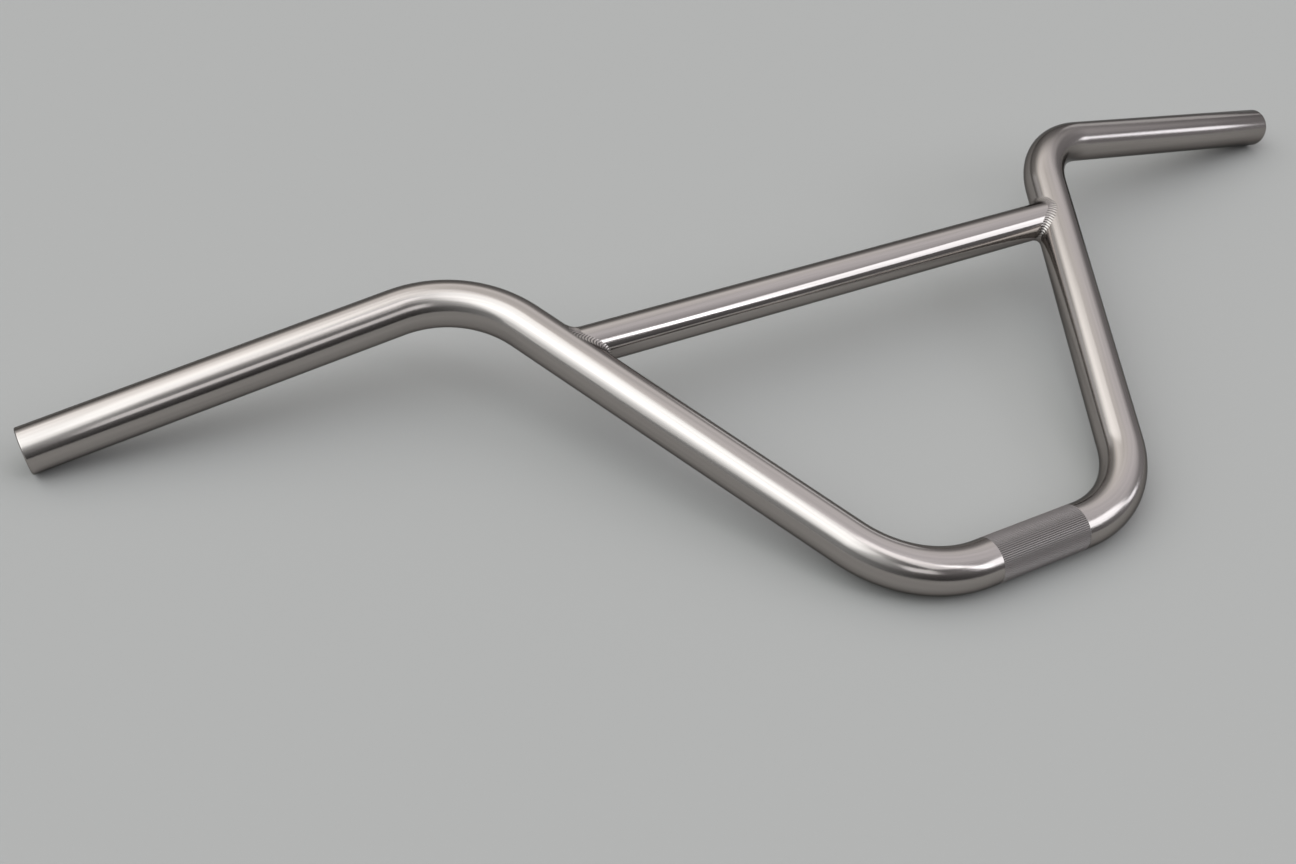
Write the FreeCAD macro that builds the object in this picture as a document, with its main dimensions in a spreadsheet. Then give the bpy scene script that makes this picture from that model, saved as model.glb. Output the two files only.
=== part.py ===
import FreeCAD, Part
import math
import os
import Sketcher

# A BMX handlebar: one bent tube, a crossbar mitred between its legs, and a weld bead round each end
# of the crossbar. It is drawn standing, as on a bicycle: X along the clamp, Y back towards the rider,
# Z up. Then it is laid on its back, as it comes to rest by itself: on the clamp and on the lower rims
# of both grip ends.

# Driving dimensions in millimetres and degrees, and counts
DIMENSIONS = {
    "grip_span": 762.0,
    "grip_rise": 228.6,
    "grip_backsweep": 11.0,
    "grip_upsweep": 1.0,
    "clamp_straight": 58.7,
    "leg_angle": 63.7,
    "bend_radius": 57.15,
    "bar_diameter": 22.2,
    "bar_wall": 1.5,
    "end_rounding": 0.8,
    "end_deburr": 0.3,
    "knurl_length": 50.8,
    "knurl_count": 72,
    "knurl_depth": 0.25,
    "knurl_groove_angle": 90.0,
    "crossbar_height": 173.0,
    "crossbar_diameter": 19.05,
    "crossbar_wall": 1.2,
    "mitre_gap": 0.1,
    "weld_reach": 3.5,
    "weld_crown": 0.1,
    "weld_face_hollow": 0.62,
    "weld_corner_loss": 0.2,
    "weld_side_loss": 0.4,
    "ripple_count": 56,
    "ripple_height": 0.2,
}

Vector = FreeCAD.Vector
X_DIR = Vector(1, 0, 0)
Z_DIR = Vector(0, 0, 1)
ORIGIN = Vector(0, 0, 0)


def make_sheet(doc):
    """Keeps every driving dimension in one cell with its own alias."""
    sheet = doc.addObject("Spreadsheet::Sheet", "sizes")
    for row, (alias, value) in enumerate(DIMENSIONS.items(), start=1):
        sheet.set("A%d" % row, alias)
        sheet.set("B%d" % row, str(value))
        sheet.setAlias("B%d" % row, alias)
    doc.recompute()
    return sheet


def origin_feature(body, role):
    return next(item for item in body.Origin.OriginFeatures if item.Role == role)


def new_sketch(body, name, role):
    """A sketch on one of the body's own origin planes."""
    sketch = body.newObject("Sketcher::SketchObject", name)
    sketch.AttachmentSupport = [(origin_feature(body, role), "")]
    sketch.MapMode = "FlatFace"
    return sketch


def add_circle(sketch, name, diameter, height=None):
    """A circle on the sketch's vertical axis, with its diameter and height bound to the sheet."""
    circle = sketch.addGeometry(Part.Circle(ORIGIN, Z_DIR, 10.0), False)
    if height is None:
        sketch.addConstraint(Sketcher.Constraint("Coincident", circle, 3, -1, 1))
    else:
        sketch.addConstraint(Sketcher.Constraint("PointOnObject", circle, 3, -2))
        rise = sketch.addConstraint(Sketcher.Constraint("DistanceY", -1, 1, circle, 3, 10.0))
        sketch.renameConstraint(rise, name + "_height")
        sketch.setExpression("Constraints." + name + "_height", height)
    size = sketch.addConstraint(Sketcher.Constraint("Diameter", circle, 20.0))
    sketch.renameConstraint(size, name)
    sketch.setExpression("Constraints." + name, diameter)


class Layout:
    """The bar's centre line and the places on it, worked out from the sheet."""

    def __init__(self, sheet):
        for alias in DIMENSIONS:
            setattr(self, alias, float(sheet.get(alias)))
        self.bar_radius = self.bar_diameter / 2
        self.crossbar_radius = self.crossbar_diameter / 2
        tilt = math.radians(self.leg_angle)
        up = math.radians(self.grip_upsweep)
        back = math.radians(self.grip_backsweep)
        self.leg = Vector(math.cos(tilt), 0, math.sin(tilt))
        self.grip = Vector(math.cos(up) * math.cos(back), math.cos(up) * math.sin(back), math.sin(up))
        self.lower_corner = X_DIR * (self.clamp_straight / 2 + self.tangent_length(X_DIR, self.leg))
        # the leg and the grip reach the width and the rise together
        reach = self.grip_span / 2 - self.lower_corner.x
        share = self.leg.x * self.grip.z - self.leg.z * self.grip.x
        self.leg_length = (reach * self.grip.z - self.grip_rise * self.grip.x) / share
        self.grip_length = (self.leg.x * self.grip_rise - self.leg.z * reach) / share
        self.upper_corner = self.lower_corner + self.leg * self.leg_length
        self.grip_end = self.upper_corner + self.grip * self.grip_length
        self.joint = self.lower_corner + self.leg * (self.crossbar_height / self.leg.z)

    def tangent_length(self, before, after):
        return self.bend_radius * math.tan(before.getAngle(after) / 2)

    def bend(self, corner, before, after):
        """The arc that rounds a corner, as its two ends and its middle."""
        half = before.getAngle(after) / 2
        tangent = self.tangent_length(before, after)
        start = corner - before * tangent
        end = corner + after * tangent
        inward = (after - before).normalize()
        middle = corner + inward * (self.bend_radius / math.cos(half) - self.bend_radius)
        return start, middle, end

    def half_route(self):
        """From the middle of the clamp to the right-hand grip end: straight runs joined by tangent arcs."""
        low_start, low_middle, low_end = self.bend(self.lower_corner, X_DIR, self.leg)
        top_start, top_middle, top_end = self.bend(self.upper_corner, self.leg, self.grip)
        return Part.Wire([
            Part.LineSegment(ORIGIN, low_start).toShape(),
            Part.Arc(low_start, low_middle, low_end).toShape(),
            Part.LineSegment(low_end, top_start).toShape(),
            Part.Arc(top_start, top_middle, top_end).toShape(),
            Part.LineSegment(top_end, self.grip_end).toShape(),
        ])

    def rest_placement(self):
        """Laid back about X until the clamp and the rims of both grip ends touch the same surface."""

        def gap_under_grip(lean):
            up = Vector(0, -math.cos(lean), math.sin(lean))
            slope = self.grip.dot(up)
            level = math.sqrt(1 - slope ** 2)
            lowest = self.grip_end.dot(up) - self.end_rounding * (slope + 1)
            lowest -= (self.bar_radius - self.end_rounding) * level
            return lowest + self.bar_radius

        low, high = 0.0, math.pi / 4
        for _ in range(60):
            lean = (low + high) / 2
            if gap_under_grip(lean) < 0:
                low = lean
            else:
                high = lean
        return FreeCAD.Placement(ORIGIN, FreeCAD.Rotation(X_DIR, math.degrees(lean) - 90))


def rim_edges(shape, centres, radius):
    """Names of the circular edges of one radius about the given centres."""
    names = []
    for index, edge in enumerate(shape.Edges, start=1):
        curve = edge.Curve
        if not isinstance(curve, Part.Circle) or abs(curve.Radius - radius) > 1e-4:
            continue
        if any(curve.Center.distanceToPoint(centre) < 1e-3 for centre in centres):
            names.append("Edge%d" % index)
    return names


def finish_ends(doc, body, base, layout):
    """Rounds the outer rim and breaks the inner rim of both open ends."""
    left_end = Vector(-layout.grip_end.x, layout.grip_end.y, layout.grip_end.z)
    centres = [layout.grip_end, left_end]
    outer = body.newObject("PartDesign::Fillet", "end_rounding")
    outer.Base = (base, rim_edges(base.Shape, centres, layout.bar_radius))
    outer.setExpression("Radius", "sizes.end_rounding")
    doc.recompute()
    inner = body.newObject("PartDesign::Chamfer", "end_deburr")
    inner.Base = (outer, rim_edges(outer.Shape, centres, layout.bar_radius - layout.bar_wall))
    inner.setExpression("Size", "sizes.end_deburr")
    doc.recompute()


def make_bar_tube(doc, layout, route):
    """The bent tube: half swept along its route, mirrored, its ends rounded, its clamp knurled."""
    body = doc.addObject("PartDesign::Body", "bar_tube")
    section = new_sketch(body, "bar_section", "YZ_Plane")
    add_circle(section, "outside", "sizes.bar_diameter")
    add_circle(section, "bore", "sizes.bar_diameter - 2 * sizes.bar_wall")
    doc.recompute()
    half = body.newObject("PartDesign::AdditivePipe", "half_bar")
    half.Profile = section
    half.Spine = (route, ["Edge%d" % (i + 1) for i in range(len(route.Shape.Edges))])
    whole = body.newObject("PartDesign::Mirrored", "whole_bar")
    whole.Originals = [half]
    whole.MirrorPlane = (origin_feature(body, "YZ_Plane"), [""])
    body.Tip = whole
    doc.recompute()
    finish_ends(doc, body, whole, layout)
    add_knurl(doc, body, layout)
    return body


def add_knurl(doc, body, layout):
    """Straight V grooves along the clamp stretch, one cut and then repeated round the tube."""
    sketch = new_sketch(body, "knurl_section", "YZ_Plane")
    # turned by half a pitch, so that a land lies on top of the tube
    half_pitch = 180 / layout.knurl_count
    sketch.AttachmentOffset = FreeCAD.Placement(ORIGIN, FreeCAD.Rotation(Z_DIR, half_pitch))
    sketch.setExpression("AttachmentOffset.Rotation.Angle", "180deg / sizes.knurl_count")
    top = layout.bar_radius + layout.knurl_depth
    root = layout.bar_radius - layout.knurl_depth
    half_width = (top - root) * math.tan(math.radians(layout.knurl_groove_angle / 2))
    corners = [Vector(0, root, 0), Vector(half_width, top, 0), Vector(-half_width, top, 0)]
    for start, end in zip(corners, corners[1:] + corners[:1]):
        sketch.addGeometry(Part.LineSegment(start, end), False)
    for line in range(3):
        sketch.addConstraint(Sketcher.Constraint("Coincident", line, 2, (line + 1) % 3, 1))
    sketch.addConstraint(Sketcher.Constraint("PointOnObject", 0, 1, -2))
    sketch.addConstraint(Sketcher.Constraint("Symmetric", 1, 1, 1, 2, -2))
    depth = "sizes.bar_diameter / 2 - sizes.knurl_depth"
    bound = [
        ("root", Sketcher.Constraint("DistanceY", -1, 1, 0, 1, root), depth),
        ("depth", Sketcher.Constraint("DistanceY", 0, 1, 0, 2, top - root), "2 * sizes.knurl_depth"),
        ("angle", Sketcher.Constraint("Angle", 0, 1, 2, 2, math.radians(layout.knurl_groove_angle)),
         "sizes.knurl_groove_angle"),
    ]
    for name, constraint, expression in bound:
        sketch.renameConstraint(sketch.addConstraint(constraint), name)
        sketch.setExpression("Constraints." + name, expression)
    doc.recompute()
    groove = body.newObject("PartDesign::Pocket", "knurl_groove")
    groove.Profile = sketch
    groove.SideType = "Symmetric"
    groove.setExpression("Length", "sizes.knurl_length")
    doc.recompute()
    knurl = body.newObject("PartDesign::PolarPattern", "knurl")
    knurl.Originals = [groove]
    knurl.Axis = (origin_feature(body, "X_Axis"), [""])
    knurl.Angle = 360
    knurl.setExpression("Occurrences", "sizes.knurl_count")
    body.Tip = knurl
    doc.recompute()


def make_crossbar(doc, layout):
    """A straight tube from leg to leg, each end mitred to the leg's round wall."""
    body = doc.addObject("PartDesign::Body", "crossbar")
    section = new_sketch(body, "crossbar_section", "YZ_Plane")
    height = "sizes.crossbar_height"
    add_circle(section, "outside", "sizes.crossbar_diameter", height)
    add_circle(section, "bore", "sizes.crossbar_diameter - 2 * sizes.crossbar_wall", height)
    doc.recompute()
    tube = body.newObject("PartDesign::Pad", "crossbar_tube")
    tube.Profile = section
    tube.SideType = "Symmetric"
    corner = "sizes.clamp_straight / 2 + sizes.bend_radius * tan(sizes.leg_angle * 1deg / 2)"
    tube.setExpression("Length", "2 * (%s + sizes.crossbar_height / tan(sizes.leg_angle * 1deg))" % corner)
    doc.recompute()
    mitre = body.newObject("PartDesign::SubtractiveCylinder", "mitre")
    mitre.setExpression("Radius", "sizes.bar_diameter / 2 + sizes.mitre_gap")
    mitre.Height = layout.leg_length
    mitre.Placement = FreeCAD.Placement(layout.lower_corner, FreeCAD.Rotation(Z_DIR, layout.leg))
    doc.recompute()
    both = body.newObject("PartDesign::Mirrored", "both_mitres")
    both.Originals = [mitre]
    both.MirrorPlane = (origin_feature(body, "YZ_Plane"), [""])
    body.Tip = both
    doc.recompute()
    return body


class Saddle:
    """The closed curve where the crossbar's wall meets the right-hand leg's wall."""

    def __init__(self, layout):
        self.layout = layout

    def point(self, turn):
        layout = self.layout
        across = layout.crossbar_radius * math.sin(turn)
        above = layout.crossbar_radius * math.cos(turn)
        facing = math.sqrt(layout.bar_radius ** 2 - across ** 2)
        along = (layout.leg.x * above - facing) / layout.leg.z
        return layout.joint + Vector(along, across, above)

    def frame(self, turn):
        """The root point, and the ways out of it along the crossbar's wall and along the leg's wall."""
        step = 1e-4
        root = self.point(turn)
        tangent = (self.point(turn + step) - self.point(turn - step)).normalize()
        crossbar_normal = Vector(0, math.sin(turn), math.cos(turn))
        leg_normal = self.from_leg(root).normalize()
        on_crossbar = tangent.cross(crossbar_normal).normalize()
        if on_crossbar.x > 0:
            on_crossbar = on_crossbar * -1
        on_leg = tangent.cross(leg_normal).normalize()
        if on_leg.dot(crossbar_normal) < 0:
            on_leg = on_leg * -1
        return root, on_crossbar, on_leg

    def from_leg(self, point):
        """The part of a point's place that is square to the leg's axis."""
        offset = point - self.layout.joint
        return offset - self.layout.leg * offset.dot(self.layout.leg)

    def from_crossbar(self, point):
        offset = point - self.layout.joint
        return Vector(0, offset.y, offset.z)


def bead_slice(saddle, turn):
    """One slice across the bead at a ripple's crest, from toe to toe and back below both walls, and the
    point that the face dips to between two crests."""
    layout = saddle.layout
    sink = layout.bar_wall / 2
    root, on_crossbar, on_leg = saddle.frame(turn)
    opening = on_crossbar.dot(on_leg)
    # the bead reaches less far where the two walls meet at a sharper angle, and at the sides of the joint,
    # where they run almost flush
    reach = layout.weld_reach * (1 - layout.weld_corner_loss * opening)
    reach *= 1 - layout.weld_side_loss * math.sin(turn) ** 2
    outward = (on_crossbar + on_leg).normalize()
    flat_throat = reach * math.cos(math.acos(opening) / 2)
    crest = root + outward * (layout.weld_face_hollow * flat_throat + layout.weld_crown)
    crossbar_toe = root + on_crossbar * reach
    leg_toe = root + on_leg * reach
    crossbar_out = saddle.from_crossbar(crossbar_toe)
    leg_out = saddle.from_leg(leg_toe)
    crossbar_toe += crossbar_out * (layout.crossbar_radius / crossbar_out.Length - 1)
    leg_toe += leg_out * (layout.bar_radius / leg_out.Length - 1)
    below_crossbar = crossbar_toe - crossbar_out.normalize() * sink
    below_leg = leg_toe - leg_out.normalize() * sink
    valley = crest - outward * layout.ripple_height
    return [crossbar_toe, crest, leg_toe, below_leg, root - outward * sink, below_crossbar], valley


def facet(*corners):
    return Part.Face(Part.makePolygon([*corners, corners[0]]))


def make_ripples(slices, valleys):
    """A closed ring of ripples: between each two crests the bead's face dips to a valley."""
    facets = []
    for index, valley in enumerate(valleys):
        here = slices[index]
        after = slices[(index + 1) % len(slices)]
        rim = here[:3] + after[2::-1]
        for corner, beside in zip(rim, rim[1:] + rim[:1]):
            facets.append(facet(valley, corner, beside))
        for corner in range(2, len(here)):
            beside = (corner + 1) % len(here)
            facets.append(facet(here[corner], here[beside], after[beside]))
            facets.append(facet(here[corner], after[beside], after[corner]))
    ring = Part.Solid(Part.Shell(facets))
    if ring.Volume < 0:
        ring.reverse()
    return ring


def make_weld_shape(layout):
    """The right-hand bead: a ring of ripples round the saddle, seated on both tubes."""
    saddle = Saddle(layout)
    pitch = 2 * math.pi / int(layout.ripple_count)
    slices = [bead_slice(saddle, pitch * index)[0] for index in range(int(layout.ripple_count))]
    valleys = [bead_slice(saddle, pitch * (index + 0.5))[1] for index in range(int(layout.ripple_count))]
    leg = Part.makeCylinder(layout.bar_radius, layout.leg_length, layout.lower_corner, layout.leg)
    axis_start = Vector(0, 0, layout.crossbar_height)
    crossbar = Part.makeCylinder(layout.crossbar_radius, layout.joint.x, axis_start, X_DIR)
    return make_ripples(slices, valleys).cut(leg.fuse(crossbar))


def make_welds(doc, layout):
    right = doc.addObject("Part::Feature", "weld_right")
    right.Shape = make_weld_shape(layout)
    left = doc.addObject("Part::Feature", "weld_left")
    left.Shape = right.Shape.mirror(ORIGIN, X_DIR)
    return [left, right]


def check(doc, parts):
    for item in doc.Objects:
        if "Invalid" in item.State or "Error" in item.State:
            raise RuntimeError("%s did not build: %s" % (item.Name, item.State))
    for part in parts:
        if part.Shape.isNull() or not part.Shape.isValid() or len(part.Shape.Solids) != 1:
            raise RuntimeError("%s is not one valid solid" % part.Label)


def main():
    doc = FreeCAD.newDocument("bmx_handlebar")
    layout = Layout(make_sheet(doc))
    route = doc.addObject("Part::Feature", "bar_route")
    route.Shape = layout.half_route()
    parts = [make_bar_tube(doc, layout, route), make_crossbar(doc, layout), *make_welds(doc, layout)]
    placement = layout.rest_placement()
    for part in parts:
        part.Placement = placement
    doc.recompute()
    check(doc, parts)
    os.makedirs("parts", exist_ok=True)
    for part in parts:
        part.Shape.exportStep("parts/%s.step" % part.Label)
        print(part.Label, "volume %.1f mm3" % part.Shape.Volume, "faces", len(part.Shape.Faces))


main()
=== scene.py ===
"""The looks of a BMX handlebar: a bent, knurled tube, a polished crossbar and two rippled weld beads."""

import math

import bpy
import numpy as np
from mathutils import Matrix, Vector


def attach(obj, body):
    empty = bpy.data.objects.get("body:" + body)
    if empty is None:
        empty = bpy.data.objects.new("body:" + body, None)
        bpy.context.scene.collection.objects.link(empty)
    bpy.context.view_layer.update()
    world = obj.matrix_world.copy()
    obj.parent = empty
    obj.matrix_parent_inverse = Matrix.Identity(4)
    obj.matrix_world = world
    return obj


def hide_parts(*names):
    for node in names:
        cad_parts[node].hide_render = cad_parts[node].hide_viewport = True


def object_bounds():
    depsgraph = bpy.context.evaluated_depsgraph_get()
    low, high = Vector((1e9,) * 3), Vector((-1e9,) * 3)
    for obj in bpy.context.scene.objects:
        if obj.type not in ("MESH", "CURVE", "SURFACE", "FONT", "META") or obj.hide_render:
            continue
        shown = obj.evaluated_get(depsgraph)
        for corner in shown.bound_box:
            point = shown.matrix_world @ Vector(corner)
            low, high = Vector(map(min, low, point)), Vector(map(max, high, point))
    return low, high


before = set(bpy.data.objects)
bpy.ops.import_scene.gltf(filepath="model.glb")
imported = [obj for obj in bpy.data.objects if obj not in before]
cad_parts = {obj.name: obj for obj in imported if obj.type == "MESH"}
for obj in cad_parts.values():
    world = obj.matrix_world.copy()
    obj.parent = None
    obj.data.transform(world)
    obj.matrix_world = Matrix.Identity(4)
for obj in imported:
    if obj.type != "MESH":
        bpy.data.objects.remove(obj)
cad_low, cad_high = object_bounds()

# Sizes in metres and radians. The bar is modelled standing, as on a bicycle, and then laid on its back.
TUBE_RADIUS = 0.0111
TUBE_WALL = 0.0015
CLAMP_HALF = 0.02935
BEND_RADIUS = 0.05715
LEG_ANGLE = math.radians(63.7)
GRIP_SPAN = 0.762
GRIP_RISE = 0.2286
BACKSWEEP = math.radians(11)
UPSWEEP = math.radians(1)
LEAN_BACK = math.radians(9.806 - 90)
END_ROUNDING = 0.0008
END_DEBURR = 0.0003
KNURL_HALF = 0.0254
KNURL_LEAD = 0.0002
KNURL_DEPTH = 0.00025
CROSSBAR_HEIGHT = 0.173
CROSSBAR_RADIUS = 0.009525
CROSSBAR_WALL = 0.0012

# The weld bead: its reach along both walls, which is less in a sharp corner and at the joint's sides,
# its hollow face and the ripples on it
WELD_REACH = 0.0035
WELD_CORNER_LOSS = 0.2
WELD_SIDE_LOSS = 0.4
WELD_HOLLOW = 0.62
WELD_CROWN = 0.0001
WELD_TOE = 0.00006
WELD_SINK = 0.0007
RIPPLES = 56
RIPPLE_HEIGHT = 0.00024
RIPPLE_BOW = 0.55
RIPPLE_SCALLOP = 0.035
RIPPLE_LEAST = 0.25

# What a welder's hand leaves uneven: strength, waves round the joint, and how often the weld's own shift
# is added to their turn
RIPPLE_SWAY = ((0.12, 3, 1), (0.08, 7, 2))
CROWN_SWAY = ((0.25, 5, 1), (0.2, 11, 3))
REACH_SWAY = ((0.03, 4, 1),)
LEFT_SHIFT = 0.7
RIGHT_SHIFT = 2.1

# How finely the meshes are divided, and the angles in degrees below which an edge looks smooth
TUBE_SIDES = 288
SIDES_PER_GROOVE = 4
CROSSBAR_SIDES = 192
BEND_STEPS = 26
STRAIGHT_STEPS = 3
ROUNDING_STEPS = 5
DEBURR_STEPS = 2
BEAD_ROUND = 560
BEAD_FACE = 17
BEAD_BURIED = 3
BAR_SMOOTH = 25
CROSSBAR_SMOOTH = 40
WELD_SMOOTH = 50
SAME_PLACE = 1e-6

# Places of two finishes in the bar's list, which starts with the brushed one
KNURL_FINISH = 1
BORE_FINISH = 2

# Finishes: the paler and the darker tone of each bare metal
WARM_PALE = (0.415, 0.382, 0.362)
WARM_DARK = (0.365, 0.336, 0.318)
KNURL_PALE = (0.252, 0.233, 0.225)
KNURL_DARK = (0.217, 0.2, 0.193)
BORE_PALE = (0.34, 0.32, 0.30)
BORE_DARK = (0.27, 0.25, 0.235)
WELD_PALE = (0.405, 0.373, 0.354)
WELD_DARK = (0.355, 0.327, 0.310)
# Painted shade: a near-black colour mixed into the weld in the creases between its ripples
WELD_CREASE_SHADE = (0.06, 0.055, 0.05)
# How much of the light a metal edge gives back at a grazing view, beside plain metal
EDGE_TONE = 0.34
# Waves in each metre along and across the tube, and the band of a noise in which most of it lies
STREAK_WAVES = (9, 520, 520)
SCRATCH_WAVES = (60, 4200, 4200)
NOISE_LOW, NOISE_HIGH = 0.3, 0.7
BUMP_STRENGTH = 0.5
GRAIN_GLOSS = 0.08

# The camera stands where the photograph was taken from
CAMERA_PLACE = (-0.45666, -0.33015, 0.50777)
CAMERA_RIGHT = Vector((0.85944, -0.49957, 0.10861))
CAMERA_UP = Vector((0.26565, 0.61789, 0.74003))
CAMERA_LENS = 45.577
CAMERA_SENSOR = 36

# The studio: each wall's bearing, tint and brightness at heights given in degrees above the floor
WALL_HEIGHTS = (0, 22, 38, 55, 90)
WALLS = (
    ((0, 1, 0), (1.0, 0.99, 0.97), (0.12, 0.38, 1.42, 1.08)),
    ((1, 0, 0), (1.0, 0.99, 1.04), (0.39, 0.38, 1.0, 1.02)),
    ((0, -1, 0), (1.0, 1.0, 1.02), (0.03, 0.12, 0.20, 0.12)),
    ((-1, 0, 0), (0.95, 1.0, 1.02), (0.45, 0.50, 1.70, 2.87)),
)
CEILING = 1.07
BRIGHTEST = 3.0
FLOOR_COLOUR = (0.316, 0.312, 0.303)
FLOOR_SIZE = 60

# Soft light panels: bearing, height above the floor, width and length, all in degrees as the bar sees them,
# then brightness and colour
PANELS = (
    ("left_soft_box", -70, 48, 78.5, 72, 0.80, (0.96, 1.0, 1.01)),
    ("top_soft_box", -76, 80, 41.5, 18, 0.6, (0.95, 1.0, 1.03)),
    ("right_soft_box", 129, 31, 33, 21, 2.1, (0.96, 1.0, 1.06)),
    ("right_small_box", 108.5, 15, 10, 9, 2.5, (0.96, 1.0, 1.08)),
    ("back_small_box", 60, 13, 18, 12, 0.9, (0.97, 1.0, 1.04)),
    ("back_low_box", -24, 17, 18, 14, 0.35, (0.97, 1.0, 1.04)),
    ("right_strip_box", 146.5, 42, 5, 35, 2.87, (0.97, 1.0, 1.05)),
    ("front_soft_box", 161.5, 67, 18, 38, 1.31, (0.98, 1.0, 1.03)),
    ("front_small_box", -171, 37, 19, 15, 1.2, (0.98, 1.0, 1.03)),
)
PANEL_DISTANCE = 12.0
PANEL_AIM = Vector((0, 0.12, 0))

# The right half of the bent tube's middle line
leg = Vector((math.cos(LEG_ANGLE), 0, math.sin(LEG_ANGLE)))
grip = Vector((
    math.cos(UPSWEEP) * math.cos(BACKSWEEP),
    math.cos(UPSWEEP) * math.sin(BACKSWEEP),
    math.sin(UPSWEEP),
))
TOP_TURN = leg.angle(grip)
LOW_TANGENT = BEND_RADIUS * math.tan(LEG_ANGLE / 2)
TOP_TANGENT = BEND_RADIUS * math.tan(TOP_TURN / 2)
low_corner = Vector((CLAMP_HALF + LOW_TANGENT, 0, 0))
reach = GRIP_SPAN / 2 - low_corner.x
share = leg.x * grip.z - leg.z * grip.x
LEG_LENGTH = (reach * grip.z - GRIP_RISE * grip.x) / share
GRIP_LENGTH = (leg.x * GRIP_RISE - leg.z * reach) / share
joint = low_corner + leg * (CROSSBAR_HEIGHT / leg.z)

# Distances along the tube, from the middle of the clamp, at which a run ends
LOW_BEND_END = CLAMP_HALF + BEND_RADIUS * LEG_ANGLE
LEG_END = LOW_BEND_END + LEG_LENGTH - LOW_TANGENT - TOP_TANGENT
TOP_BEND_END = LEG_END + BEND_RADIUS * TOP_TURN
TUBE_HALF = TOP_BEND_END + GRIP_LENGTH - TOP_TANGENT


def start_piece():
    """Leaves edit mode and deselects everything."""
    if bpy.context.object and bpy.context.object.mode != "OBJECT":
        bpy.ops.object.mode_set(mode="OBJECT")
    bpy.ops.object.select_all(action="DESELECT")


def pick_up(piece):
    """Selects one piece alone and makes it the active one."""
    start_piece()
    piece.select_set(True)
    bpy.context.view_layer.objects.active = piece


def select_points(piece, wanted):
    """Selects the points for which wanted says so, and goes into edit mode."""
    bpy.ops.object.mode_set(mode="EDIT")
    bpy.ops.mesh.select_mode(type="VERT")
    bpy.ops.mesh.select_all(action="DESELECT")
    bpy.ops.object.mode_set(mode="OBJECT")
    for vertex in piece.data.vertices:
        vertex.select = wanted(vertex.co)
    bpy.ops.object.mode_set(mode="EDIT")


def across(point):
    """How far a point of a straight tube lies from its axis."""
    return math.hypot(point.y, point.z)


def draw_tube(name, radius, sides, stations):
    """A ring drawn out along X from station to station."""
    start_piece()
    bpy.ops.mesh.primitive_circle_add(vertices=sides, radius=radius, rotation=(0, math.pi / 2, 0))
    piece = bpy.context.active_object
    piece.name = name
    bpy.ops.object.transform_apply(location=True, rotation=True, scale=True)
    bpy.ops.object.mode_set(mode="EDIT")
    bpy.ops.mesh.select_all(action="SELECT")
    for here, after in zip(stations, stations[1:]):
        bpy.ops.mesh.extrude_region_move(TRANSFORM_OT_translate={"value": (after - here, 0, 0)})
    bpy.ops.mesh.select_all(action="SELECT")
    bpy.ops.mesh.normals_make_consistent(inside=False)
    bpy.ops.object.mode_set(mode="OBJECT")
    return piece


def mirror_and_thicken(piece, wall):
    """Mirrors half a tube's skin to the other side and gives it a wall, inwards."""
    mirror = piece.modifiers.new("mirror", "MIRROR")
    mirror.merge_threshold = SAME_PLACE
    bpy.ops.object.modifier_apply(modifier="mirror")
    thick = piece.modifiers.new("wall", "SOLIDIFY")
    thick.thickness = wall
    thick.offset = -1
    bpy.ops.object.modifier_apply(modifier="wall")


def finish_rim(piece, radius, width, segments):
    """Bevels the circle of one radius at both open ends of the straight tube."""
    def on_rim(point):
        return abs(abs(point.x) - TUBE_HALF) < SAME_PLACE and abs(across(point) - radius) < 10 * SAME_PLACE
    select_points(piece, on_rim)
    bpy.ops.mesh.select_mode(type="EDGE")
    bpy.ops.mesh.bevel(offset=width, segments=segments, profile=0.5, affect="EDGES")
    bpy.ops.object.mode_set(mode="OBJECT")


def keep_straight_places(piece):
    """Keeps where each point was on the straight tube, for finishes that follow its length."""
    places = np.zeros(len(piece.data.vertices) * 3)
    piece.data.vertices.foreach_get("co", places)
    kept = piece.data.attributes.new("unbent", "FLOAT_VECTOR", "POINT")
    kept.data.foreach_set("vector", places)


def bent(point):
    """Where a point of the straight tube lies once the tube is bent."""
    side = -1 if point.x < 0 else 1
    run = abs(point.x)
    spot = Vector((0, point.y, point.z))
    if run <= CLAMP_HALF:
        spot.x = run
    else:
        low_turn = min(run - CLAMP_HALF, LOW_BEND_END - CLAMP_HALF) / BEND_RADIUS
        hub = Vector((0, 0, BEND_RADIUS))
        spot = Matrix.Rotation(-low_turn, 4, "Y") @ (spot - hub) + hub + Vector((CLAMP_HALF, 0, 0))
        if run > LOW_BEND_END:
            spot += leg * (min(run, LEG_END) - LOW_BEND_END)
        if run > LEG_END:
            leg_stop = low_corner + leg * (LEG_LENGTH - TOP_TANGENT)
            axis = leg.cross(grip).normalized()
            hub = leg_stop + axis.cross(leg) * BEND_RADIUS
            top_turn = min(run - LEG_END, TOP_BEND_END - LEG_END) / BEND_RADIUS
            spot = Matrix.Rotation(top_turn, 4, axis) @ (spot - hub) + hub
        if run > TOP_BEND_END:
            spot += grip * (run - TOP_BEND_END)
    spot.x *= side
    return spot


def lay_down(piece):
    """Turns a standing piece onto its back and leaves its place in its mesh."""
    pick_up(piece)
    piece.rotation_euler.x = LEAN_BACK
    bpy.ops.object.transform_apply(location=True, rotation=True, scale=True)


def smooth(piece, degrees):
    """Shades a piece smooth, apart from edges sharper than the angle."""
    pick_up(piece)
    bpy.ops.object.shade_smooth_by_angle(angle=math.radians(degrees))


def steps(first, last, count):
    """Evenly spaced stations after the first one, up to the last."""
    return [first + (last - first) * i / count for i in range(1, count + 1)]


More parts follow.
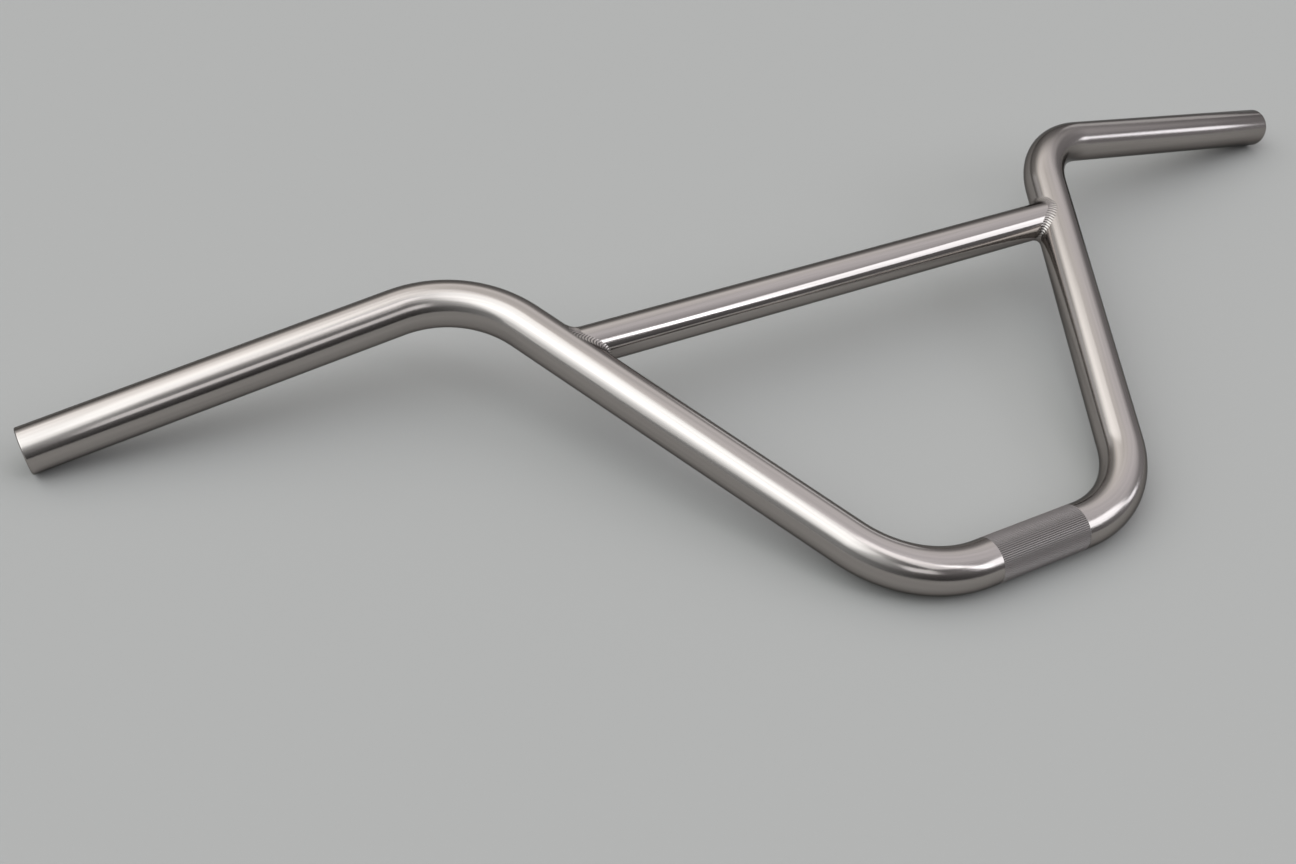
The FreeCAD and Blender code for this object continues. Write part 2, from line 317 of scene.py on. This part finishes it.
def cut_knurl(bar):
    """Sinks every fourth line of the clamp stretch to the root of a groove."""
    def in_groove(point):
        line = round(math.atan2(point.z, point.y) / (2 * math.pi) * TUBE_SIDES)
        return point.x < KNURL_HALF - KNURL_LEAD / 2 and line % SIDES_PER_GROOVE == SIDES_PER_GROOVE / 2
    select_points(bar, in_groove)
    root = 1 - KNURL_DEPTH / TUBE_RADIUS
    bpy.ops.transform.resize(value=(1, root, root), center_override=(0, 0, 0))
    bpy.ops.object.mode_set(mode="OBJECT")


def finish_bar_faces(bar):
    """Gives the knurl and the bore of the straight tube their own finishes."""
    for face in bar.data.polygons:
        if across(face.center) < TUBE_RADIUS - TUBE_WALL + KNURL_DEPTH:
            face.material_index = BORE_FINISH
        elif abs(face.center.x) < KNURL_HALF:
            face.material_index = KNURL_FINISH


def make_bar():
    """One straight tube, knurled at the clamp, rounded at its ends and then bent."""
    stations = [0, KNURL_HALF - KNURL_LEAD, KNURL_HALF, CLAMP_HALF]
    stations += steps(CLAMP_HALF, LOW_BEND_END, BEND_STEPS)
    stations += steps(LOW_BEND_END, LEG_END, STRAIGHT_STEPS)
    stations += steps(LEG_END, TOP_BEND_END, BEND_STEPS)
    stations += steps(TOP_BEND_END, TUBE_HALF, STRAIGHT_STEPS)
    bar = draw_tube("handlebar_tube", TUBE_RADIUS, TUBE_SIDES, stations)
    cut_knurl(bar)
    mirror_and_thicken(bar, TUBE_WALL)
    finish_rim(bar, TUBE_RADIUS, END_ROUNDING, ROUNDING_STEPS)
    finish_rim(bar, TUBE_RADIUS - TUBE_WALL, END_DEBURR, DEBURR_STEPS)
    smooth(bar, BAR_SMOOTH)
    keep_straight_places(bar)
    finish_bar_faces(bar)
    for vertex in bar.data.vertices:
        vertex.co = bent(vertex.co)
    lay_down(bar)
    return bar


def saddle_point(turn):
    """Where the crossbar's wall meets the right-hand leg's wall, at one turn round the crossbar."""
    side = CROSSBAR_RADIUS * math.sin(turn)
    above = CROSSBAR_RADIUS * math.cos(turn)
    facing = math.sqrt(TUBE_RADIUS ** 2 - side ** 2)
    return joint + Vector(((leg.x * above - facing) / leg.z, side, above))


def make_crossbar():
    """A straight tube whose ends are drawn to the round walls of the legs."""
    stations = [0, joint.x / 2, joint.x]
    crossbar = draw_tube("crossbar_tube", CROSSBAR_RADIUS, CROSSBAR_SIDES, stations)
    for vertex in crossbar.data.vertices:
        if vertex.co.x > joint.x - TUBE_WALL:
            vertex.co.x = saddle_point(math.atan2(vertex.co.y, vertex.co.z)).x
    mirror_and_thicken(crossbar, CROSSBAR_WALL)
    smooth(crossbar, CROSSBAR_SMOOTH)
    keep_straight_places(crossbar)
    for vertex in crossbar.data.vertices:
        vertex.co.z += CROSSBAR_HEIGHT
    lay_down(crossbar)
    return crossbar


def square_to_crossbar(point):
    """The way from the crossbar's axis to a point."""
    return Vector((0, point.y, point.z - joint.z))


def square_to_leg(point):
    """The way from the leg's axis to a point."""
    offset = point - joint
    return offset - leg * offset.dot(leg)


def joint_frame(turn):
    """A root point of the weld, and the ways out of it along the crossbar's wall and along the leg's wall."""
    root = saddle_point(turn)
    nudge = 1e-4
    tangent = (saddle_point(turn + nudge) - saddle_point(turn - nudge)).normalized()
    crossbar_out = Vector((0, math.sin(turn), math.cos(turn)))
    leg_out = square_to_leg(root).normalized()
    on_crossbar = tangent.cross(crossbar_out).normalized()
    if on_crossbar.x > 0:
        on_crossbar.negate()
    on_leg = tangent.cross(leg_out).normalized()
    if on_leg.dot(crossbar_out) < 0:
        on_leg.negate()
    return root, on_crossbar, on_leg


def bead_section(turn, swell, lap, uneven):
    """One loop round the bead: over its face from the crossbar to the leg, then back below both walls.

    Lap says how far each spot of the face lies below the crest of its ripple."""
    root, on_crossbar, on_leg = joint_frame(turn)
    sharpness = on_crossbar.dot(on_leg)
    corner_share = 1 - WELD_CORNER_LOSS * sharpness
    side_share = 1 - WELD_SIDE_LOSS * math.sin(turn) ** 2
    leg_length = WELD_REACH * corner_share * side_share * swell
    outward = (on_crossbar + on_leg).normalized()
    throat = leg_length * math.cos(math.acos(sharpness) / 2)
    crest = root + outward * (WELD_HOLLOW * throat + WELD_CROWN * uneven)

    crossbar_toe = root + on_crossbar * leg_length
    crossbar_out = square_to_crossbar(crossbar_toe)
    crossbar_toe += crossbar_out.normalized() * (CROSSBAR_RADIUS + WELD_TOE - crossbar_out.length)
    leg_toe = root + on_leg * leg_length
    leg_out = square_to_leg(leg_toe)
    leg_toe += leg_out.normalized() * (TUBE_RADIUS + WELD_TOE - leg_out.length)

    pull = crest * 2 - (crossbar_toe + leg_toe) / 2
    loop, creases = [], []
    for spot in range(BEAD_FACE):
        t = spot / (BEAD_FACE - 1)
        place = 2 * t - 1
        face = crossbar_toe * (1 - t) ** 2 + pull * (2 * t * (1 - t)) + leg_toe * t ** 2
        height = RIPPLE_LEAST + (1 - RIPPLE_LEAST) * (1 - abs(place) ** 3)
        loop.append(face - outward * (RIPPLE_HEIGHT * lap(place) * height))
        # How much painted shade each spot gets, most where it lies deepest between two ripples
        creases.append(lap(place) ** 2)
    buried = [
        leg_toe - leg_out.normalized() * WELD_SINK,
        root - outward * WELD_SINK,
        crossbar_toe - crossbar_out.normalized() * WELD_SINK,
    ]
    return loop + buried, creases + [1.0] * len(buried)


def sway(waves, turn, shift):
    """How far the welder's hand is off at one turn round the joint."""
    return sum(strength * math.sin(count * turn + turned * shift) for strength, count, turned in waves)


def bead_sections(shift):
    """All loops round a bead, with overlapping crescent ripples that follow each other round the joint."""
    sections = []
    for index in range(BEAD_ROUND):
        turn = 2 * math.pi * index / BEAD_ROUND
        ripple = RIPPLES * index / BEAD_ROUND + sway(RIPPLE_SWAY, turn, shift)

        def lap(place):
            return 1 - abs(math.sin(math.pi * (ripple + RIPPLE_BOW * place ** 2)))
        swell = 1 + RIPPLE_SCALLOP * (1 - lap(1)) + sway(REACH_SWAY, turn, shift)
        uneven = 1 + sway(CROWN_SWAY, turn, shift)
        sections.append(bead_section(turn, swell, lap, uneven))
    return sections


def make_weld(name, side, shift):
    """A sheet wrapped into a ring over the joint, on the right or mirrored to the left."""
    start_piece()
    spots = BEAD_FACE + BEAD_BURIED
    bpy.ops.mesh.primitive_grid_add(x_subdivisions=BEAD_ROUND, y_subdivisions=spots, size=2)
    weld = bpy.context.active_object
    weld.name = name
    sections = bead_sections(shift)
    # Carries the painted shade in the creases between the ripples
    crease_shade = weld.data.attributes.new("crease_shade", "FLOAT", "POINT")
    for number, vertex in enumerate(weld.data.vertices):
        index = round((vertex.co.x + 1) / 2 * BEAD_ROUND) % BEAD_ROUND
        spot = round((vertex.co.y + 1) / 2 * spots) % spots
        loop, creases = sections[index]
        vertex.co = loop[spot]
        vertex.co.x *= side
        crease_shade.data[number].value = creases[spot]
    bpy.ops.object.mode_set(mode="EDIT")
    bpy.ops.mesh.select_all(action="SELECT")
    bpy.ops.mesh.remove_doubles(threshold=SAME_PLACE / 10)
    bpy.ops.mesh.normals_make_consistent(inside=False)
    bpy.ops.object.mode_set(mode="OBJECT")
    smooth(weld, WELD_SMOOTH)
    lay_down(weld)
    return weld


def node(tree, kind, place, **settings):
    """Adds a node at a place on the sheet."""
    made = tree.nodes.new(kind)
    made.location = place
    for name, value in settings.items():
        setattr(made, name, value)
    return made


def blank_metal(name):
    """A metal with darker edges, ready for its tone, gloss and relief."""
    metal = bpy.data.materials.new(name)
    metal.use_nodes = True
    tree = metal.node_tree
    shader = tree.nodes["Principled BSDF"]
    shader.inputs["Metallic"].default_value = 1.0
    shader.inputs["Specular Tint"].default_value = (EDGE_TONE, EDGE_TONE, EDGE_TONE, 1)
    return metal, tree, shader


def add_noise(tree, place, waves, detail, low):
    """A noise over a place on the piece, with so many waves in a metre each way."""
    stretch = node(tree, "ShaderNodeMapping", (-1100, low))
    stretch.inputs["Scale"].default_value = waves
    noise = node(tree, "ShaderNodeTexNoise", (-900, low))
    noise.inputs["Scale"].default_value = 1.0
    noise.inputs["Detail"].default_value = detail
    tree.links.new(place, stretch.inputs["Vector"])
    tree.links.new(stretch.outputs["Vector"], noise.inputs["Vector"])
    return noise.outputs["Fac"]


def tone_by(tree, shader, noise, pale, dark):
    """Lets a noise choose between a metal's two tones."""
    tone = node(tree, "ShaderNodeValToRGB", (-600, 300))
    ends = ((NOISE_LOW, dark), (NOISE_HIGH, pale))
    for element, (position, colour) in zip(tone.color_ramp.elements, ends):
        element.position = position
        element.color = (*colour, 1)
    tree.links.new(noise, tone.inputs["Fac"])
    tree.links.new(tone.outputs["Color"], shader.inputs["Base Color"])


def gloss_by(tree, shader, noise, band, smoothest, roughest):
    """Lets a noise, over its band, choose between a metal's two roughnesses."""
    gloss = node(tree, "ShaderNodeMapRange", (-600, 0))
    gloss.inputs["From Min"].default_value, gloss.inputs["From Max"].default_value = band
    gloss.inputs["To Min"].default_value = smoothest
    gloss.inputs["To Max"].default_value = roughest
    tree.links.new(noise, gloss.inputs["Value"])
    tree.links.new(gloss.outputs["Result"], shader.inputs["Roughness"])


def add_relief(tree, noise, height, place):
    """A bump whose height follows a noise."""
    bump = node(tree, "ShaderNodeBump", place)
    bump.inputs["Strength"].default_value = BUMP_STRENGTH
    bump.inputs["Distance"].default_value = height
    tree.links.new(noise, bump.inputs["Height"])
    return bump


def brushed_metal(name, smoothest, roughest, line_height):
    """Bare metal brushed along the tube: long streaks in tone and gloss over hair-fine scratches."""
    metal, tree, shader = blank_metal(name)
    place = node(tree, "ShaderNodeAttribute", (-1300, 0), attribute_name="unbent")
    streak = add_noise(tree, place.outputs["Vector"], STREAK_WAVES, 4.0, 200)
    scratch = add_noise(tree, place.outputs["Vector"], SCRATCH_WAVES, 3.0, -300)
    tone_by(tree, shader, streak, WARM_PALE, WARM_DARK)
    gloss_by(tree, shader, streak, (NOISE_LOW, NOISE_HIGH), smoothest, roughest)
    drawn = add_relief(tree, streak, line_height, (-450, -500))
    scratched = add_relief(tree, scratch, line_height, (-300, -300))
    tree.links.new(drawn.outputs["Normal"], scratched.inputs["Normal"])
    tree.links.new(scratched.outputs["Normal"], shader.inputs["Normal"])
    return metal


def matt_metal(name, pale, dark, roughness, grain_size, grain_height):
    """Bare metal with a fine even grain, as on the knurl, in the bore and on the weld."""
    metal, tree, shader = blank_metal(name)
    place = node(tree, "ShaderNodeTexCoord", (-1300, 0))
    grain = add_noise(tree, place.outputs["Object"], [1 / grain_size] * 3, 4.0, 0)
    tone_by(tree, shader, grain, pale, dark)
    gloss_by(tree, shader, grain, (0, 1), roughness - GRAIN_GLOSS, roughness + GRAIN_GLOSS)
    grained = add_relief(tree, grain, grain_height, (-300, -300))
    tree.links.new(grained.outputs["Normal"], shader.inputs["Normal"])
    return metal


def paint_crease_shade(metal, dark):
    """Paints shade into the creases between a weld's ripples: a near-black colour mixed in as far as the
    crease attribute says.
    """
    tree = metal.node_tree
    shader = tree.nodes["Principled BSDF"]
    plain = shader.inputs["Base Color"].links[0].from_socket
    crease_shade = node(tree, "ShaderNodeAttribute", (-600, 500), attribute_name="crease_shade")
    mix = node(tree, "ShaderNodeMix", (-300, 300), data_type="RGBA")
    mix.inputs["B"].default_value = (*dark, 1)
    tree.links.new(crease_shade.outputs["Fac"], mix.inputs["Factor"])
    tree.links.new(plain, mix.inputs["A"])
    tree.links.new(mix.outputs["Result"], shader.inputs["Base Color"])


def add_camera():
    """The photograph's view."""
    data = bpy.data.cameras.new("photo_camera")
    data.sensor_width = CAMERA_SENSOR
    data.lens = CAMERA_LENS
    data.clip_start = 0.01
    camera = bpy.data.objects.new("photo_camera", data)
    back = CAMERA_RIGHT.cross(CAMERA_UP)
    turn = Matrix((CAMERA_RIGHT, CAMERA_UP, back)).transposed()
    camera.rotation_euler = turn.to_euler()
    camera.location = CAMERA_PLACE
    bpy.context.scene.collection.objects.link(camera)
    bpy.context.scene.camera = camera


def add_floor():
    """A wide pale floor under the bar's lowest point."""
    start_piece()
    bpy.ops.mesh.primitive_plane_add(size=FLOOR_SIZE, location=(0, 0, cad_low.z))
    floor = bpy.context.active_object
    floor.name = "floor"
    paint = bpy.data.materials.new("pale_floor")
    paint.use_nodes = True
    shader = paint.node_tree.nodes["Principled BSDF"]
    shader.inputs["Base Color"].default_value = (*FLOOR_COLOUR, 1)
    shader.inputs["Roughness"].default_value = 0.9
    shader.inputs["Specular IOR Level"].default_value = 0.1
    floor.data.materials.append(paint)


def towards(azimuth, elevation):
    """The direction at one bearing, from +Y towards +X, and one height above the floor."""
    az, el = math.radians(azimuth), math.radians(elevation)
    return Vector((math.sin(az) * math.cos(el), math.cos(az) * math.cos(el), math.sin(el)))


def add_panel(name, azimuth, elevation, width, height, brightness, colour):
    """A soft light panel that faces the bar. Brightness is what a mirror would show of it."""
    data = bpy.data.lights.new(name, "AREA")
    data.shape = "RECTANGLE"
    data.size = 2 * PANEL_DISTANCE * math.tan(math.radians(width / 2))
    data.size_y = 2 * PANEL_DISTANCE * math.tan(math.radians(height / 2))
    data.energy = brightness * math.pi * data.size * data.size_y
    data.color = colour
    lamp = bpy.data.objects.new(name, data)
    way = towards(azimuth, elevation)
    lamp.location = PANEL_AIM + way * PANEL_DISTANCE
    lamp.rotation_euler = way.to_track_quat("Z", "Y").to_euler()
    bpy.context.scene.collection.objects.link(lamp)


def add_wall(tree, height, bearing, wall, low):
    """One wall of the studio: its brightness by height, where the bearing faces it."""
    link = tree.links.new
    way, tint, levels = wall
    ramp = node(tree, "ShaderNodeValToRGB", (-900, low))
    while len(ramp.color_ramp.elements) < len(WALL_HEIGHTS):
        ramp.color_ramp.elements.new(0.5)
    for element, degrees, bright in zip(ramp.color_ramp.elements, WALL_HEIGHTS, (*levels, CEILING)):
        element.position = math.sin(math.radians(degrees))
        element.color = (*(bright / BRIGHTEST * part for part in tint), 1)
    link(height, ramp.inputs["Fac"])
    facing = node(tree, "ShaderNodeVectorMath", (-900, low - 220), operation="DOT_PRODUCT")
    facing.inputs[1].default_value = way
    link(bearing, facing.inputs[0])
    ahead = node(tree, "ShaderNodeMath", (-700, low - 220), operation="MAXIMUM")
    ahead.inputs[1].default_value = 0
    link(facing.outputs["Value"], ahead.inputs[0])
    weight = node(tree, "ShaderNodeMath", (-550, low - 220), operation="POWER")
    weight.inputs[1].default_value = 2
    link(ahead.outputs["Value"], weight.inputs[0])
    lit = node(tree, "ShaderNodeVectorMath", (-400, low), operation="SCALE")
    link(ramp.outputs["Color"], lit.inputs[0])
    link(weight.outputs["Value"], lit.inputs["Scale"])
    return lit.outputs["Vector"]


def add_room():
    """A studio's four walls, each with its own brightness from the floor up, under one ceiling."""
    world = bpy.data.worlds.new("studio")
    world.use_nodes = True
    bpy.context.scene.world = world
    tree = world.node_tree
    link = tree.links.new
    place = node(tree, "ShaderNodeTexCoord", (-1500, 0))
    parts = node(tree, "ShaderNodeSeparateXYZ", (-1300, 200))
    link(place.outputs["Generated"], parts.inputs["Vector"])
    level = node(tree, "ShaderNodeVectorMath", (-1300, -100), operation="MULTIPLY")
    level.inputs[1].default_value = (1, 1, 0)
    link(place.outputs["Generated"], level.inputs[0])
    bearing = node(tree, "ShaderNodeVectorMath", (-1100, -100), operation="NORMALIZE")
    link(level.outputs["Vector"], bearing.inputs[0])
    total = None
    for index, wall in enumerate(WALLS):
        low = 600 - 350 * index
        lit = add_wall(tree, parts.outputs["Z"], bearing.outputs["Vector"], wall, low)
        if total is None:
            total = lit
        else:
            both = node(tree, "ShaderNodeVectorMath", (-200, low), operation="ADD")
            link(total, both.inputs[0])
            link(lit, both.inputs[1])
            total = both.outputs["Vector"]
    background = tree.nodes["Background"]
    link(total, background.inputs["Color"])
    background.inputs["Strength"].default_value = BRIGHTEST


bar = make_bar()
crossbar = make_crossbar()
left_weld = make_weld("left_weld_bead", -1, LEFT_SHIFT)
right_weld = make_weld("right_weld_bead", 1, RIGHT_SHIFT)

brushed_bar = brushed_metal("brushed_bar", smoothest=0.13, roughest=0.19, line_height=0.00002)
knurled_clamp = matt_metal(
    "knurled_clamp", KNURL_PALE, KNURL_DARK, roughness=0.5, grain_size=0.0004, grain_height=0.00003)
raw_bore = matt_metal(
    "raw_bore", BORE_PALE, BORE_DARK, roughness=0.5, grain_size=0.0006, grain_height=0.00003)
polished_crossbar = brushed_metal("polished_crossbar", smoothest=0.08, roughest=0.12, line_height=0.000008)
weld_metal = matt_metal(
    "weld_metal", WELD_PALE, WELD_DARK, roughness=0.24, grain_size=0.0008, grain_height=0.00002)
# Paints shade into the weld's creases between its ripples
paint_crease_shade(weld_metal, WELD_CREASE_SHADE)

for piece, stands_for, slot, finishes in (
    (bar, "bar_tube", "brushed_bar", (brushed_bar, knurled_clamp, raw_bore)),
    (crossbar, "crossbar", "polished_crossbar", (polished_crossbar,)),
    (left_weld, "weld_left", "weld_metal", (weld_metal,)),
    (right_weld, "weld_right", "weld_metal", (weld_metal,)),
):
    for finish in finishes:
        piece.data.materials.append(finish)
    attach(piece, "root")
    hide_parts(stands_for)

add_camera()
add_floor()
add_room()
for panel in PANELS:
    add_panel(*panel)
bpy.context.scene.view_settings.view_transform = "Standard"
